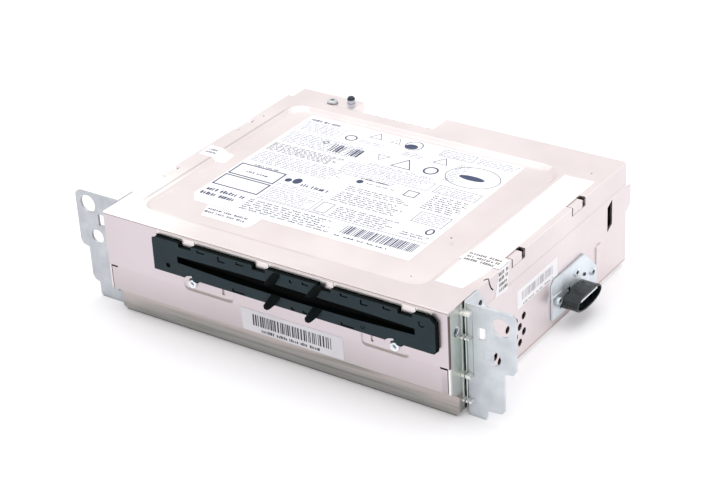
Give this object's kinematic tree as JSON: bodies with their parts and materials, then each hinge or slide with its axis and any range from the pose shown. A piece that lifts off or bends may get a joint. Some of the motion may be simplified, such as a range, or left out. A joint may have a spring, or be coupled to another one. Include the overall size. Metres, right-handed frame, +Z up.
{
  "type": "car navigation radio",
  "caption": "Sheet-steel car radio chassis with a disc slot bezel, recessed lid, holed mounting ears, a side bracket with rubber sleeve, rear sockets and a slot-loading disc drive inside.",
  "frame": {"origin": "middle of the flat underside of the case, half way between the front panel's face and the rear of its longer half", "axes": "+X to the unit's right as seen by someone facing its front from behind the slot's left end, +Y to the rear, +Z up; the front panel faces -Y"},
  "size_m": [0.2304, 0.1625, 0.0556],
  "materials": {
    "steel_skin": "satin coated sheet",
    "steel_inner": "satin",
    "zinc": "satin zinc",
    "bright_steel": "bright",
    "black_plastic": "fine grain",
    "grey_plastic": "fine grain",
    "pale_nylon": "semi-gloss",
    "rubber": "matt",
    "felt": "matt pile",
    "aluminium": "matt extruded",
    "board": "coated laminate",
    "violet_plastic": "matt",
    "blue_plastic": "matt",
    "lens": "clear coated"
  },
  "bodies": {
    "case": {"lower_chassis": "steel_skin", "front_panel": "steel_skin", "slot_bezel": "black_plastic", "upper_dust_strip": "felt", "lower_dust_strip": "felt", "bezel_screw_left": "bright_steel", "bezel_screw_right": "bright_steel", "top_cover": "steel_skin", "right_ear_bracket": "zinc", "left_ear_bracket": "zinc", "side_support_bracket": "zinc", "rubber_sleeve": "rubber", "rear_panel": "steel_skin", "main_connector": "black_plastic", "main_connector_foot": "black_plastic", "data_socket": "grey_plastic", "aerial_socket_1": "violet_plastic", "aerial_socket_2": "blue_plastic", "aerial_socket_3": "grey_plastic", "rear_bracket": "steel_skin", "rear_bracket_screw": "bright_steel", "rear_bracket_stud": "black_plastic", "heat_sink": "aluminium", "main_board": "board", "board_screw_1": "bright_steel", "board_screw_2": "bright_steel", "board_screw_3": "bright_steel", "board_screw_4": "bright_steel", "shield_can": "steel_inner", "tuner_module": "steel_inner", "amplifier_chip": "black_plastic", "capacitor_1": "black_plastic", "capacitor_2": "black_plastic", "choke_coil": "grey_plastic", "drive_frame": "steel_inner", "drive_top_plate": "steel_inner", "drive_deck": "steel_inner", "deck_damper_1": "rubber", "deck_damper_2": "rubber", "deck_damper_3": "rubber", "deck_damper_4": "rubber", "spindle_motor": "steel_inner", "guide_rod_front": "bright_steel", "guide_rod_back": "bright_steel", "feed_motor": "steel_inner", "loading_motor": "steel_inner"},
    "turntable": {"turntable": "grey_plastic"},
    "clamp_arm": {"clamp_arm": "steel_inner"},
    "clamp_puck": {"clamp_puck": "black_plastic"},
    "pickup": {"pickup_sled": "steel_inner", "pickup_lens": "lens"},
    "feed_screw": {"feed_screw": "bright_steel"},
    "roller": {"roller_shaft": "bright_steel", "loading_roller": "rubber", "roller_gear": "pale_nylon"},
    "reduction_gear": {"reduction_gear": "pale_nylon"},
    "motor_pinion": {"motor_pinion": "pale_nylon"},
    "disc_lever": {"disc_sensing_lever": "pale_nylon"}
  },
  "joints": [
    {"name": "turntable_spin", "type": "hinge", "parent": "case", "child": "turntable", "pos_m": [0.0126, -0.0001, 0.035], "axis": [0, 0, 1], "continuous": true},
    {"name": "clamp_arm_lift", "type": "hinge", "parent": "case", "child": "clamp_arm", "pos_m": [0.0126, 0.0529, 0.0422], "axis": [1, 0, 0], "range_deg": [0, 2.8]},
    {"name": "clamp_puck_spin", "type": "hinge", "parent": "clamp_arm", "child": "clamp_puck", "pos_m": [0.0126, -0.0001, 0.041], "axis": [0, 0, 1], "continuous": true},
    {"name": "pickup_slide", "type": "slide", "parent": "case", "child": "pickup", "axis": [-1, 0, 0], "range_m": [0, 0.034]},
    {"name": "feed_screw_turn", "type": "hinge", "parent": "case", "child": "feed_screw", "pos_m": [-0.02, 0.0239, 0.0324], "axis": [1, 0, 0], "range_deg": [0, 4082]},
    {"name": "roller_spin", "type": "hinge", "parent": "case", "child": "roller", "pos_m": [0.0126, -0.0651, 0.0348], "axis": [1, 0, 0], "continuous": true},
    {"name": "reduction_gear_spin", "type": "hinge", "parent": "case", "child": "reduction_gear", "pos_m": [0.077, -0.0561, 0.0348], "axis": [1, 0, 0], "continuous": true},
    {"name": "motor_pinion_spin", "type": "hinge", "parent": "case", "child": "motor_pinion", "pos_m": [0.078, -0.04465, 0.0312], "axis": [1, 0, 0], "continuous": true},
    {"name": "disc_lever_swing", "type": "hinge", "parent": "case", "child": "disc_lever", "pos_m": [-0.05, -0.0551, 0.0375], "axis": [0, 0, 1], "range_deg": [0, 24], "stiffness_Nm_per_rad": 0.001}
  ],
  "couplings": [
    {"joint": "clamp_puck_spin", "follows": "turntable_spin", "ratio": 1},
    {"joint": "feed_screw_turn", "follows": "pickup_slide", "rad_per_m": 2094.4},
    {"joint": "reduction_gear_spin", "follows": "roller_spin", "ratio": -1.5},
    {"joint": "motor_pinion_spin", "follows": "roller_spin", "ratio": 3.5}
  ]
}
